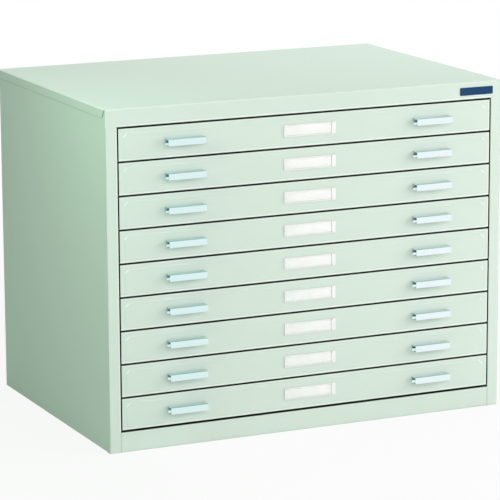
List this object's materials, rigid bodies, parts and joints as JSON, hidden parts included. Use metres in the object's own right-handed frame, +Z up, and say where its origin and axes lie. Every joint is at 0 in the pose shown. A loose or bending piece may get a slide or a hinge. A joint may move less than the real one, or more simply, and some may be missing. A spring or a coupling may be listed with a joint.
{
  "type": "map cabinet",
  "caption": "Low steel cabinet of shallow full-width drawers for large flat sheets, each with two bar pulls and a card holder.",
  "frame": {"origin": "on the floor under the centre of the closed cabinet's box, pulls included", "axes": "+X along the width, the drawers open towards -Y, +Z up"},
  "size_m": [1, 0.7128, 0.785],
  "materials": {
    "body_paint": "smooth baked enamel, pale grey green, low gloss",
    "zinc_runner": "plain zinc-plated steel",
    "pull_metal": "bright satin metal",
    "label_plastic": "ivory moulded plastic"
  },
  "bodies": {
    "cabinet": {"top_panel": "body_paint", "side_panel_left": "body_paint", "side_panel_right": "body_paint", "back_panel": "body_paint", "floor_pan": "body_paint", "kick_rail": "body_paint", "top_stiffener_front": "body_paint", "top_stiffener_rear": "body_paint", "floor_stiffener": "body_paint", "runner_rack_left": "zinc_runner", "runner_rack_right": "zinc_runner"},
    "drawer_1": {"drawer_tray_1": "body_paint", "drawer_front_1": "body_paint", "pull_left_1": "pull_metal", "pull_right_1": "pull_metal", "label_holder_1": "label_plastic"},
    "drawer_2": {"drawer_tray_2": "body_paint", "drawer_front_2": "body_paint", "pull_left_2": "pull_metal", "pull_right_2": "pull_metal", "label_holder_2": "label_plastic"},
    "drawer_3": {"drawer_tray_3": "body_paint", "drawer_front_3": "body_paint", "pull_left_3": "pull_metal", "pull_right_3": "pull_metal", "label_holder_3": "label_plastic"},
    "drawer_4": {"drawer_tray_4": "body_paint", "drawer_front_4": "body_paint", "pull_left_4": "pull_metal", "pull_right_4": "pull_metal", "label_holder_4": "label_plastic"},
    "drawer_5": {"drawer_tray_5": "body_paint", "drawer_front_5": "body_paint", "pull_left_5": "pull_metal", "pull_right_5": "pull_metal", "label_holder_5": "label_plastic"},
    "drawer_6": {"drawer_tray_6": "body_paint", "drawer_front_6": "body_paint", "pull_left_6": "pull_metal", "pull_right_6": "pull_metal", "label_holder_6": "label_plastic"},
    "drawer_7": {"drawer_tray_7": "body_paint", "drawer_front_7": "body_paint", "pull_left_7": "pull_metal", "pull_right_7": "pull_metal", "label_holder_7": "label_plastic"},
    "drawer_8": {"drawer_tray_8": "body_paint", "drawer_front_8": "body_paint", "pull_left_8": "pull_metal", "pull_right_8": "pull_metal", "label_holder_8": "label_plastic"},
    "drawer_9": {"drawer_tray_9": "body_paint", "drawer_front_9": "body_paint", "pull_left_9": "pull_metal", "pull_right_9": "pull_metal", "label_holder_9": "label_plastic"}
  },
  "joints": [
    {"name": "drawer_1_slide", "type": "slide", "parent": "cabinet", "child": "drawer_1", "axis": [0, -1, 0], "range_m": [0, 0.5]},
    {"name": "drawer_2_slide", "type": "slide", "parent": "cabinet", "child": "drawer_2", "axis": [0, -1, 0], "range_m": [0, 0.5]},
    {"name": "drawer_3_slide", "type": "slide", "parent": "cabinet", "child": "drawer_3", "axis": [0, -1, 0], "range_m": [0, 0.5]},
    {"name": "drawer_4_slide", "type": "slide", "parent": "cabinet", "child": "drawer_4", "axis": [0, -1, 0], "range_m": [0, 0.5]},
    {"name": "drawer_5_slide", "type": "slide", "parent": "cabinet", "child": "drawer_5", "axis": [0, -1, 0], "range_m": [0, 0.5]},
    {"name": "drawer_6_slide", "type": "slide", "parent": "cabinet", "child": "drawer_6", "axis": [0, -1, 0], "range_m": [0, 0.5]},
    {"name": "drawer_7_slide", "type": "slide", "parent": "cabinet", "child": "drawer_7", "axis": [0, -1, 0], "range_m": [0, 0.5]},
    {"name": "drawer_8_slide", "type": "slide", "parent": "cabinet", "child": "drawer_8", "axis": [0, -1, 0], "range_m": [0, 0.5]},
    {"name": "drawer_9_slide", "type": "slide", "parent": "cabinet", "child": "drawer_9", "axis": [0, -1, 0], "range_m": [0, 0.5]}
  ]
}
